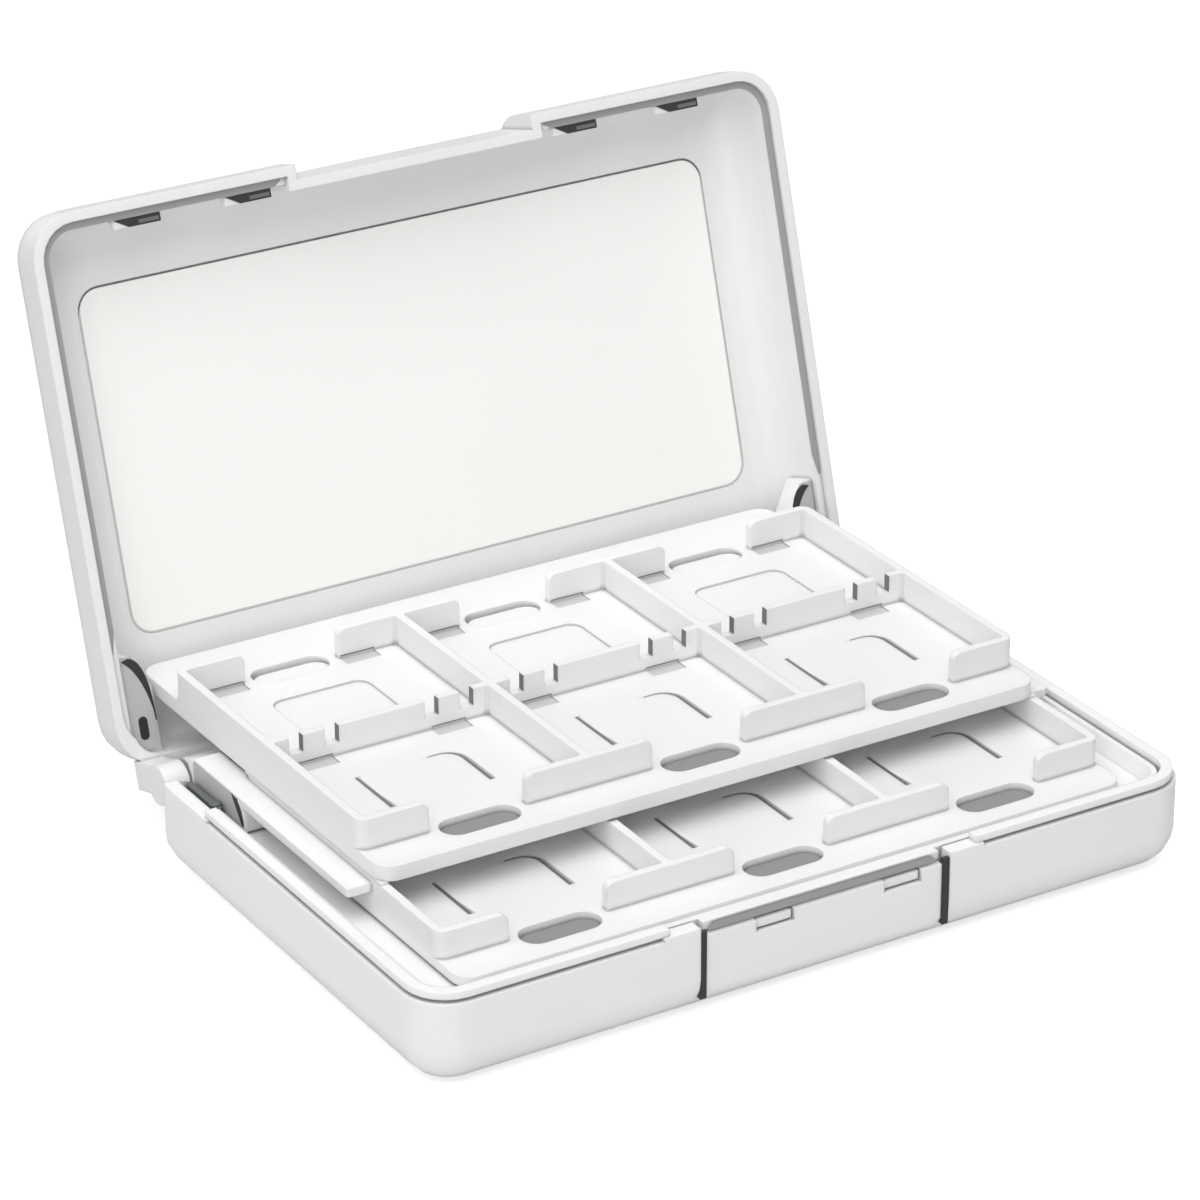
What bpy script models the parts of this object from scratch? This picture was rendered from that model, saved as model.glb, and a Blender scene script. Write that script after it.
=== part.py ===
# A hinged plastic case for small game cards, standing open, with a fixed lower
# card tray and an upper tray that slides forward over it as the lid closes.
# The origin is the middle of the underside, X to the right, Y to the back and Z up.

import math

import bmesh
import bpy
from mathutils import Matrix

MM = 0.001

# card cells, alike in both trays
CELL_WIDTH = 32.0 * MM
CELL_DEPTH = 23.75 * MM
CELL_CORNER_RADIUS = 0.35 * MM
CELL_COLUMNS = 3
TRAY_WALL = 1.2 * MM
TRAY_FLOOR = 1.3 * MM
TRAY_CORNER_RADIUS = 1.6 * MM
FRONT_PLATE_DEPTH = 5.65 * MM
REAR_DECK_DEPTH = 10.5 * MM
PLATE_CORNER_RADIUS = 2.6 * MM
TAB_GAP = 14.4 * MM
TAB_CORNER_RADIUS = 1.1 * MM
FINGER_HOLE_LENGTH = 11.5 * MM
FINGER_HOLE_WIDTH = 4.7 * MM
FRONT_HOLE_SETBACK = 0.4 * MM
BACK_HOLE_SETBACK = 0.6 * MM
BACK_HOLE_DEPTH = 0.6 * MM
BACK_SLIT_WIDTH = 0.8 * MM
BACK_PLATE_THICKNESS = 0.5 * MM

# notches along the top of the middle wall, from the left face of each cell
NOTCH_DEPTH = 2.4 * MM
NOTCH_PAIR_WIDTH = 7.4 * MM
NOTCH_WIDTH = 2.1 * MM
NOTCH_PAIR_SETBACK = 2.2 * MM

# shallow shapes in the floor of a cell
CARD_PAD_WIDTH = 14.6 * MM
CARD_PAD_DEPTH = 0.3 * MM
CARD_PAD_REACH = 18.2 * MM
CARD_PAD_RADIUS = 2.0 * MM
FLOOR_GROOVE_WIDTH = 1.1 * MM
FLOOR_GROOVE_DEPTH = 0.85 * MM
FLOOR_GROOVE_END_DEPTH = 0.2 * MM
FLOOR_GROOVE_START = 7.3 * MM
FLOOR_GROOVE_LENGTH = 9.6 * MM
FLOOR_GROOVE_LEFT_X = -8.0 * MM
FLOOR_GROOVE_RIGHT_X = 6.7 * MM
FLOOR_GROOVE_TURN = 2.3 * MM
TAB_RECESS_WIDTH = 5.2 * MM
TAB_RECESS_LENGTH = 2.0 * MM
TAB_RECESS_DEPTH = 0.75 * MM
TAB_RECESS_SETBACK = 3.4 * MM

# heights of the two trays
LOWER_WALL_HEIGHT = 3.9 * MM
UPPER_WALL_HEIGHT = 4.25 * MM
SKIRT_HEIGHT = 0.8 * MM
SKIRT_WALL = 1.0 * MM
SKIRT_REAR_SETBACK = 0.9 * MM
STACK_GAP = 0.3 * MM
TRAY_TRAVEL = 19.7 * MM

# side flanges of the lower tray
FLANGE_WIDTH = 3.5 * MM
FLANGE_THICKNESS = 1.2 * MM
FLANGE_TOP_DROP = 0.6 * MM
FLANGE_START = 22.4 * MM
FLANGE_LENGTH = 42.0 * MM
FLANGE_FOOT_START = 50.3 * MM
FLANGE_RECESS_START = 52.0 * MM
FLANGE_RECESS_LENGTH = 6.5 * MM
FLANGE_RECESS_DEPTH = 0.9 * MM
FLANGE_RECESS_BASE = 1.4 * MM
FLANGE_SLIT_WIDTH = 0.9 * MM
FLANGE_SLIT_DEPTH = 2.4 * MM
FLANGE_CORNER_RADIUS = 0.55 * MM

# clearance between pieces that are assembled into each other
FIT_GAP = 0.3 * MM

# inner frame that carries the lower tray
PAN_DEPTH = 2.1 * MM
PAN_FLOOR = 1.2 * MM
PAN_SIDE_CLEARANCE = 0.35 * MM
PAN_SLOPE_WIDTH = 0.85 * MM
PAN_LAND = 0.7 * MM
PAN_FRONT_WIDTH = 2.3 * MM
PAN_BACK_WALL = 0.8 * MM
PAN_HOLE_MARGIN = 0.6 * MM
PAN_CORNER_RADIUS = 3.4 * MM
LIP_OVERHANG = 1.1 * MM
LIP_THICKNESS = 1.2 * MM
HOOK_WIDTH = 5.2 * MM
HOOK_HEIGHT = 1.15 * MM
HOOK_DROP = 1.7 * MM
HOOK_REACH = 1.5 * MM
HOOK_LEFT_X = -7.5 * MM
HOOK_RIGHT_X = 11.9 * MM

# base shell
BASE_HEIGHT = 12.9 * MM
BASE_FLOOR = 1.8 * MM
BASE_WALL = 4.1 * MM
BASE_BACK_WALL = 6.6 * MM
BOTTOM_RADIUS = 5.6 * MM
PLAN_RADIUS = 6.4 * MM
RIM_HEIGHT = 0.94 * MM
RIM_REVEAL = 0.5 * MM
RIM_WIDTH = 1.6 * MM
RIM_BACK_WALL = 1.4 * MM
RIM_LINE_HEIGHT = 0.45 * MM
RIM_LINE_DEPTH = 1.1 * MM
RIM_REAR_GAP = 16.2 * MM
NOTCH_HALF_WIDTH = 18.4 * MM
RIM_END_FROM_NOTCH = 4.8 * MM
GROOVE_WIDTH = 1.0 * MM
GROOVE_BOTTOM = 2.6 * MM
PANEL_SETBACK = 0.4 * MM
WINDOW_CLEARANCE = 0.3 * MM

# hinge
OPEN_ANGLE = math.radians(106.5)
HINGE_BEHIND_BACK = 1.5 * MM
HINGE_HEIGHT = 9.1 * MM
PIN_RADIUS = 1.0 * MM
PIN_CLEARANCE = 0.1 * MM
KNUCKLE_RADIUS = 2.8 * MM
KNUCKLE_LENGTH = 6.0 * MM
KNUCKLE_ROOT_DROP = 2.2 * MM
KNUCKLE_ROOT_RISE = 1.4 * MM
KNUCKLE_GAP = 0.6 * MM
ARM_WIDTH = 3.6 * MM
ARM_LENGTH = 2.6 * MM
ARM_SETBACK = 2.4 * MM
PIN_END_WALL = 0.9 * MM
ARM_POCKET_CLEARANCE = 1.6 * MM

# lid
LID_GAP = 0.3 * MM
LID_EDGE = 1.4 * MM
LID_REBATE = 1.1 * MM
LID_REBATE_DEPTH = 0.8 * MM
LID_INSIDE_DEPTH = 9.2 * MM
LID_TOP = 1.1 * MM
LID_TOP_RADIUS = 6.8 * MM
LID_INSIDE_RADIUS = 5.2 * MM
LID_BACK_WALL = 1.4 * MM
FINGER_NOTCH_DEPTH = 2.1 * MM
CATCH_WIDTH = 7.0 * MM
CATCH_REACH = 1.3 * MM
CATCH_HEIGHT = 1.6 * MM
CATCH_FROM_REBATE = 0.3 * MM
CATCH_NOSE = 0.4 * MM
CATCH_TOP_REACH = 0.05 * MM
CATCH_INNER_X = 25.6 * MM
CATCH_OUTER_X = 42.2 * MM
EAR_WIDTH = 4.5 * MM
EAR_RISE = 1.9 * MM
EAR_THICKNESS = 4.4 * MM
EAR_SHOULDER = 2.0 * MM
EAR_CORNER_CUT = 3.0 * MM
EAR_LENGTH = 15.3 * MM
EAR_TAPER_LENGTH = 5.0 * MM
EAR_SLOT_WIDTH = 1.3 * MM
EAR_SLOT_LENGTH = 3.2 * MM
EAR_SLOT_SETBACK = 3.4 * MM
EAR_SLOT_DEPTH = 2.6 * MM
EAR_GROOVE_WIDTH = 0.9 * MM
EAR_GROOVE_LENGTH = 8.0 * MM
EAR_EDGE = 0.5 * MM
PANEL_SIDE_MARGIN = 6.7 * MM
PANEL_REAR_MARGIN = 16.05 * MM
PANEL_THICKNESS = 0.4 * MM
PANEL_FRONT_MARGIN = 11.8 * MM
PANEL_RADIUS = 3.0 * MM
PANEL_SINK = 0.05 * MM

# detent clips beside the hinge corners
CLIP_LENGTH = 9.0 * MM
CLIP_ROD_WIDTH = 1.0 * MM
CLIP_ROD_HEIGHT = 0.8 * MM
CLIP_KNOB_RADIUS = 0.8 * MM
CLIP_KNOB_HEIGHT = 1.0 * MM
CLIP_KNOB_SETBACK = 7.6 * MM
CLIP_END_SETBACK = 0.6 * MM
CLIP_DEPTH = 1.3 * MM
CLIP_SIDE_GAP = 0.15 * MM

# how finely round shapes are stepped, and how far cutters run past what they cut
SIDES = (-1.0, 1.0)
CORNER_STEPS = 6
TAB_CORNER_STEPS = 4
FILLET_STEPS = 5
ROD_STEPS = 20
SMOOTH_ANGLE = math.radians(35.0)
SMALLEST_RADIUS = 0.4 * MM
CUT_PAST = 1.0 * MM
CUT_LIFT = 0.4 * MM

# sizes that follow from the ones above
tray_half_width = (CELL_COLUMNS * CELL_WIDTH + (CELL_COLUMNS + 1) * TRAY_WALL) / 2
tray_length = FRONT_PLATE_DEPTH + 3 * TRAY_WALL + 2 * CELL_DEPTH + REAR_DECK_DEPTH
cell_pitch = CELL_WIDTH + TRAY_WALL
flange_half_width = tray_half_width + FLANGE_WIDTH
pan_half_width = flange_half_width + PAN_SIDE_CLEARANCE
frame_half_width = pan_half_width + PAN_SLOPE_WIDTH + PAN_LAND
case_half_width = frame_half_width + FIT_GAP + RIM_WIDTH + RIM_REVEAL
rim_inset = RIM_REVEAL + RIM_WIDTH
frame_inset = rim_inset + FIT_GAP
case_length = (
    frame_inset + PAN_FRONT_WIDTH + 2 * PAN_SIDE_CLEARANCE + tray_length
    + PAN_BACK_WALL + FIT_GAP + RIM_BACK_WALL
)
case_front = -case_length / 2
case_back = case_length / 2
frame_front = case_front + frame_inset
frame_back = case_back - RIM_BACK_WALL - FIT_GAP
pan_front = frame_front + PAN_FRONT_WIDTH
lower_tray_front = pan_front + PAN_SIDE_CLEARANCE
upper_tray_front = lower_tray_front + TRAY_TRAVEL
pan_floor_z = BASE_HEIGHT - PAN_DEPTH
frame_bottom_z = pan_floor_z - PAN_FLOOR
lower_floor_z = pan_floor_z + FIT_GAP + TRAY_FLOOR
lower_top_z = lower_floor_z + LOWER_WALL_HEIGHT
skirt_bottom_z = lower_top_z + STACK_GAP
upper_floor_z = skirt_bottom_z + SKIRT_HEIGHT + TRAY_FLOOR
rim_top_z = BASE_HEIGHT + RIM_HEIGHT
shelf_z = frame_bottom_z - FIT_GAP
hinge_y = case_back + HINGE_BEHIND_BACK
hinge_z = HINGE_HEIGHT
lid_edge_z = rim_top_z + LID_GAP - hinge_z
lid_height = LID_INSIDE_DEPTH + PANEL_SINK + PANEL_THICKNESS + FIT_GAP + LID_TOP
lid_back = -HINGE_BEHIND_BACK
lid_front = lid_back - case_length
arm_outer_x = case_half_width - ARM_SETBACK
arm_inner_x = arm_outer_x - ARM_WIDTH
knuckle_outer_x = arm_inner_x - KNUCKLE_GAP
arm_pocket_x = arm_inner_x - KNUCKLE_GAP / 2
bore_radius = PIN_RADIUS + PIN_CLEARANCE
arm_sweep = math.hypot(ARM_LENGTH, lid_edge_z)
arm_pocket_front = hinge_y - arm_sweep - ARM_POCKET_CLEARANCE / 2
frame_pocket_front = arm_pocket_front - FIT_GAP
clip_back = frame_pocket_front - CLIP_END_SETBACK
clip_pocket_width = 2 * (CLIP_KNOB_RADIUS + CLIP_SIDE_GAP)
clip_x = frame_half_width - clip_pocket_width / 2
lid_inner_half_width = case_half_width - LID_EDGE - LID_REBATE
panel_half_width = lid_inner_half_width - PANEL_SIDE_MARGIN
panel_front = lid_front + PANEL_FRONT_MARGIN
panel_back = lid_back - PANEL_REAR_MARGIN


def clear_scene():
    for old in list(bpy.data.objects):
        bpy.data.objects.remove(old, do_unlink=True)


def plastic(name, colour, roughness, metallic=0.0):
    material = bpy.data.materials.new(name)
    material.use_nodes = True
    shader = material.node_tree.nodes["Principled BSDF"]
    shader.inputs["Base Color"].default_value = (*colour, 1.0)
    shader.inputs["Roughness"].default_value = roughness
    shader.inputs["Metallic"].default_value = metallic
    return material


def add_object(name, mesh_data):
    bmesh.ops.recalc_face_normals(mesh_data, faces=mesh_data.faces)
    mesh = bpy.data.meshes.new(name)
    mesh_data.to_mesh(mesh)
    mesh_data.free()
    mesh.shade_smooth()
    mesh.set_sharp_from_angle(angle=SMOOTH_ANGLE)
    made = bpy.data.objects.new(name, mesh)
    bpy.context.scene.collection.objects.link(made)
    return made


def outline(x0, x1, y0, y1, radius):
    """Points round a rectangle with rounded corners, counter-clockwise."""
    # a half-round end keeps a hair of straight side, so that no two points meet
    radius = min(radius, (x1 - x0) / 2.01, (y1 - y0) / 2.01)
    corners = (
        (x1 - radius, y1 - radius, 0.0),
        (x0 + radius, y1 - radius, 90.0),
        (x0 + radius, y0 + radius, 180.0),
        (x1 - radius, y0 + radius, 270.0),
    )
    points = []
    for centre_x, centre_y, start in corners:
        for step in range(CORNER_STEPS + 1):
            angle = math.radians(start + 90.0 * step / CORNER_STEPS)
            points.append((centre_x + radius * math.cos(angle), centre_y + radius * math.sin(angle)))
    return points


def loft(name, sections):
    """A solid through outlines of equally many points, each at its own height."""
    mesh_data = bmesh.new()
    rings = []
    for height, points in sections:
        rings.append([mesh_data.verts.new((x, y, height)) for x, y in points])
    for lower, upper in zip(rings, rings[1:]):
        count = len(lower)
        for index in range(count):
            following = (index + 1) % count
            mesh_data.faces.new((lower[index], lower[following], upper[following], upper[index]))
    mesh_data.faces.new(list(reversed(rings[0])))
    mesh_data.faces.new(rings[-1])
    return add_object(name, mesh_data)


def slab(name, x0, x1, y0, y1, z0, z1, radius=0.0):
    if radius > 0.0:
        points = outline(x0, x1, y0, y1, radius)
        return loft(name, [(z0, points), (z1, points)])
    mesh_data = bmesh.new()
    bmesh.ops.create_cube(mesh_data, size=1.0)
    bmesh.ops.scale(mesh_data, vec=(x1 - x0, y1 - y0, z1 - z0), verts=mesh_data.verts)
    middle = ((x0 + x1) / 2, (y0 + y1) / 2, (z0 + z1) / 2)
    bmesh.ops.translate(mesh_data, vec=middle, verts=mesh_data.verts)
    return add_object(name, mesh_data)


def rod_along_x(name, x0, x1, y, z, radius):
    """A round rod along X."""
    mesh_data = bmesh.new()
    place = Matrix.Translation(((x0 + x1) / 2, y, z)) @ Matrix.Rotation(math.radians(90.0), 4, "Y")
    bmesh.ops.create_cone(
        mesh_data, cap_ends=True, segments=ROD_STEPS, radius1=radius, radius2=radius,
        depth=x1 - x0, matrix=place
    )
    return add_object(name, mesh_data)


def prism(name, start, end, profile, along_y=False):
    """A prism along X over a profile of (y, z) points, or along Y over one of (x, z) points."""
    mesh_data = bmesh.new()
    ends = []
    for reach in (start, end):
        if along_y:
            ends.append([mesh_data.verts.new((x, reach, z)) for x, z in profile])
        else:
            ends.append([mesh_data.verts.new((reach, y, z)) for y, z in profile])
    near, far = ends
    mesh_data.faces.new(near)
    mesh_data.faces.new(list(reversed(far)))
    for index in range(len(profile)):
        following = (index + 1) % len(profile)
        mesh_data.faces.new((near[index], far[index], far[following], near[following]))
    return add_object(name, mesh_data)


def combine(target, pieces, operation):
    """Adds pieces to the target or cuts them from it, one after the other."""
    for piece in pieces:
        piece.hide_render = True
        piece.display_type = "WIRE"
        boolean = target.modifiers.new(operation.title(), "BOOLEAN")
        boolean.operation = operation
        boolean.object = piece
        bpy.context.view_layer.update()
        graph = bpy.context.evaluated_depsgraph_get()
        result = bpy.data.meshes.new_from_object(target.evaluated_get(graph))
        target.modifiers.remove(boolean)
        target.data = result
        bpy.data.objects.remove(piece, do_unlink=True)
    target.data.shade_smooth()
    target.data.set_sharp_from_angle(angle=SMOOTH_ANGLE)


def add(target, pieces):
    combine(target, pieces, "UNION")


def cut(target, pieces):
    combine(target, pieces, "DIFFERENCE")


def shell_sections(half_width, front, back, plan_radius, flat_z, edge_z, fillet, outwards):
    """Sections of a box whose flat side at flat_z meets its walls in a fillet."""
    direction = 1.0 if edge_z > flat_z else -1.0
    sections = []
    for step in range(FILLET_STEPS + 1):
        angle = math.radians(90.0 * step / FILLET_STEPS)
        inset = fillet * (1.0 - math.sin(angle))
        height = flat_z + direction * fillet * (1.0 - math.cos(angle))
        radius = max(plan_radius - inset, SMALLEST_RADIUS)
        points = outline(-half_width + inset, half_width - inset, front + inset, back - inset, radius)
        sections.append((height, points))
    points = outline(-half_width, half_width, front, back, plan_radius)
    sections.append((edge_z + direction * outwards, points))
    return sections


def span(side, inner, outer):
    """The lower and upper x of a stretch that lies to one side of the middle."""
    return (side * inner, side * outer) if side > 0 else (side * outer, side * inner)


def make_base_shell(material):
    shell = loft(
        "base_shell",
        shell_sections(
            case_half_width, case_front, case_back, PLAN_RADIUS, 0.0, BASE_HEIGHT, BOTTOM_RADIUS, 0.0
        ),
    )
    rim = slab(
        "rim", -case_half_width + RIM_REVEAL, case_half_width - RIM_REVEAL, case_front + RIM_REVEAL,
        case_back - RIM_REVEAL, BASE_HEIGHT - RIM_REVEAL, rim_top_z, PLAN_RADIUS - RIM_REVEAL
    )
    rim_gap_x = NOTCH_HALF_WIDTH + RIM_END_FROM_NOTCH
    rim_bottom = BASE_HEIGHT - RIM_REVEAL - CUT_PAST
    rim_gaps = [
        slab(
            "front_rim", -rim_gap_x, rim_gap_x, case_front - CUT_PAST, frame_front,
            rim_bottom, rim_top_z + CUT_PAST
        ),
        slab(
            "rear_rim", -case_half_width - CUT_PAST, case_half_width + CUT_PAST, case_back - RIM_REAR_GAP,
            case_back + CUT_PAST, rim_bottom, rim_top_z + CUT_PAST
        ),
    ]
    cut(rim, rim_gaps)
    knuckles = []
    for side in SIDES:
        x0, x1 = span(side, knuckle_outer_x - KNUCKLE_LENGTH, knuckle_outer_x)
        knuckles.append(rod_along_x("knuckle", x0, x1, hinge_y, hinge_z, KNUCKLE_RADIUS))
        knuckles.append(
            slab(
                "knuckle_root", x0, x1, case_back - RIM_BACK_WALL, hinge_y,
                hinge_z - KNUCKLE_ROOT_DROP, hinge_z + KNUCKLE_ROOT_RISE
            )
        )
    add(shell, [rim])
    add(shell, knuckles)

    upper_pocket = slab(
        "upper_pocket", -case_half_width + rim_inset, case_half_width - rim_inset,
        case_front + rim_inset, case_back - RIM_BACK_WALL, shelf_z, rim_top_z + CUT_PAST,
        PLAN_RADIUS - rim_inset
    )
    lower_pocket = slab(
        "lower_pocket", -case_half_width + BASE_WALL, case_half_width - BASE_WALL, case_front + BASE_WALL,
        case_back - BASE_BACK_WALL, BASE_FLOOR, shelf_z + CUT_PAST, PLAN_RADIUS - rim_inset
    )
    tongue_half_width = NOTCH_HALF_WIDTH + GROOVE_WIDTH / 2
    panel_top = slab(
        "panel_top", -tongue_half_width, tongue_half_width, case_front - CUT_PAST, frame_front,
        BASE_HEIGHT - LIP_THICKNESS - FIT_GAP, BASE_HEIGHT + CUT_PAST
    )
    panel_face = slab(
        "panel_face", -NOTCH_HALF_WIDTH, NOTCH_HALF_WIDTH, case_front - CUT_PAST, case_front + PANEL_SETBACK,
        GROOVE_BOTTOM, BASE_HEIGHT + CUT_PAST
    )
    cutters = [upper_pocket, lower_pocket, panel_top, panel_face]
    for side in SIDES:
        middle = side * NOTCH_HALF_WIDTH
        cutters.append(
            slab(
                "groove", middle - GROOVE_WIDTH / 2, middle + GROOVE_WIDTH / 2, case_front - CUT_PAST,
                case_front + BASE_WALL + CUT_PAST, GROOVE_BOTTOM, BASE_HEIGHT + CUT_PAST
            )
        )
    for hook_x in (HOOK_LEFT_X, HOOK_RIGHT_X):
        half = HOOK_WIDTH / 2 + WINDOW_CLEARANCE
        top = BASE_HEIGHT - HOOK_DROP + WINDOW_CLEARANCE
        cutters.append(
            slab(
                "window", hook_x - half, hook_x + half, case_front - CUT_PAST, frame_front,
                top - HOOK_HEIGHT - 2 * WINDOW_CLEARANCE, top
            )
        )
    cut(shell, cutters)
    cut(shell, [rim_line(rim_gap_x + GROOVE_WIDTH)])

    cutters = []
    for side in SIDES:
        x0, x1 = span(side, arm_pocket_x, case_half_width + CUT_PAST)
        cutters.append(
            slab(
                "arm_pocket", x0, x1, arm_pocket_front, hinge_y + KNUCKLE_RADIUS + CUT_PAST,
                hinge_z - KNUCKLE_RADIUS - ARM_POCKET_CLEARANCE, rim_top_z + CUT_PAST
            )
        )
        x0, x1 = span(side, knuckle_outer_x - KNUCKLE_LENGTH - CUT_PAST, knuckle_outer_x + CUT_PAST)
        cutters.append(rod_along_x("bore", x0, x1, hinge_y, hinge_z, bore_radius))
    cut(shell, cutters)
    shell.data.materials.append(material)
    return shell


def rim_line(front_gap_x):
    """The narrow groove round the outside, right under the rim."""
    line = slab(
        "rim_line", -case_half_width - CUT_PAST, case_half_width + CUT_PAST, case_front - CUT_PAST,
        case_back - RIM_REAR_GAP - GROOVE_WIDTH, BASE_HEIGHT - RIM_LINE_HEIGHT, BASE_HEIGHT
    )
    core = slab(
        "core", -case_half_width + RIM_LINE_DEPTH, case_half_width - RIM_LINE_DEPTH,
        case_front + RIM_LINE_DEPTH, case_back, BASE_HEIGHT - CUT_PAST, BASE_HEIGHT + CUT_PAST,
        PLAN_RADIUS - RIM_LINE_DEPTH
    )
    front_stop = slab(
        "front_stop", -front_gap_x, front_gap_x, case_front - 2 * CUT_PAST, frame_front,
        BASE_HEIGHT - CUT_PAST, BASE_HEIGHT + CUT_PAST
    )
    cut(line, [core, front_stop])
    return line


def make_inner_frame(material):
    frame = slab(
        "inner_frame", -frame_half_width, frame_half_width, frame_front, frame_back,
        frame_bottom_z, BASE_HEIGHT, PLAN_RADIUS - rim_inset
    )
    lip_half_width = NOTCH_HALF_WIDTH - GROOVE_WIDTH / 2
    lip = slab(
        "lip", -lip_half_width, lip_half_width, frame_front - LIP_OVERHANG, frame_front + PAN_LAND,
        BASE_HEIGHT - LIP_THICKNESS, BASE_HEIGHT
    )
    hooks = [lip]
    for hook_x in (HOOK_LEFT_X, HOOK_RIGHT_X):
        hooks.append(
            slab(
                "hook", hook_x - HOOK_WIDTH / 2, hook_x + HOOK_WIDTH / 2, frame_front - HOOK_REACH,
                frame_front + PAN_LAND, BASE_HEIGHT - HOOK_DROP - HOOK_HEIGHT, BASE_HEIGHT - HOOK_DROP
            )
        )
    add(frame, hooks)
    slope_rise = PAN_DEPTH + CUT_LIFT
    slope_run = PAN_SLOPE_WIDTH * slope_rise / PAN_DEPTH
    inside_bottom = outline(
        -pan_half_width, pan_half_width, pan_front, frame_back - PAN_BACK_WALL, PAN_CORNER_RADIUS
    )
    inside_top = outline(
        -pan_half_width - slope_run, pan_half_width + slope_run, frame_front + PAN_LAND,
        frame_back - PAN_BACK_WALL, PAN_CORNER_RADIUS
    )
    cutters = [loft("pan", [(pan_floor_z, inside_bottom), (pan_floor_z + slope_rise, inside_top)])]
    hole_y = lower_tray_front + FRONT_PLATE_DEPTH - FRONT_HOLE_SETBACK
    for column in range(CELL_COLUMNS):
        middle = -tray_half_width + TRAY_WALL + column * cell_pitch + CELL_WIDTH / 2
        cutters.append(
            finger_hole(middle, hole_y, frame_bottom_z - CUT_PAST, pan_floor_z + CUT_PAST, PAN_HOLE_MARGIN)
        )
    for side in SIDES:
        x0, x1 = span(side, arm_pocket_x - FIT_GAP, frame_half_width + CUT_PAST)
        cutters.append(
            slab(
                "corner_pocket", x0, x1, frame_pocket_front, hinge_y,
                frame_bottom_z - CUT_PAST, BASE_HEIGHT + CUT_PAST
            )
        )
        x0, x1 = span(side, frame_half_width - clip_pocket_width, frame_half_width + CUT_PAST)
        cutters.append(
            slab(
                "clip_pocket", x0, x1, clip_back - CLIP_LENGTH - FIT_GAP, clip_back + FIT_GAP,
                BASE_HEIGHT - CLIP_DEPTH, BASE_HEIGHT + CUT_PAST
            )
        )
    cut(frame, cutters)
    frame.data.materials.append(material)
    return frame


def make_detent_clip(name, side, material):
    """A rod with a round knob, lying in the pocket at one rear corner."""
    bottom = BASE_HEIGHT - CLIP_DEPTH + FIT_GAP
    x = side * clip_x
    clip = slab(
        name, x - CLIP_ROD_WIDTH / 2, x + CLIP_ROD_WIDTH / 2, clip_back - CLIP_LENGTH, clip_back,
        bottom, bottom + CLIP_ROD_HEIGHT, CLIP_ROD_WIDTH / 2
    )
    knob_y = clip_back - CLIP_KNOB_SETBACK
    knob = slab(
        "knob", x - CLIP_KNOB_RADIUS, x + CLIP_KNOB_RADIUS, knob_y - CLIP_KNOB_RADIUS,
        knob_y + CLIP_KNOB_RADIUS, bottom, bottom + CLIP_KNOB_HEIGHT, CLIP_KNOB_RADIUS
    )
    add(clip, [knob])
    clip.data.materials.append(material)
    return clip


def finger_hole(x, y, z0, z1, margin=0.0):
    """The long rounded shape of one finger hole."""
    half_length = FINGER_HOLE_LENGTH / 2 + margin
    half_width = FINGER_HOLE_WIDTH / 2 + margin
    return slab(
        "finger_hole", x - half_length, x + half_length, y - half_width, y + half_width, z0, z1, half_width
    )


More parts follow.
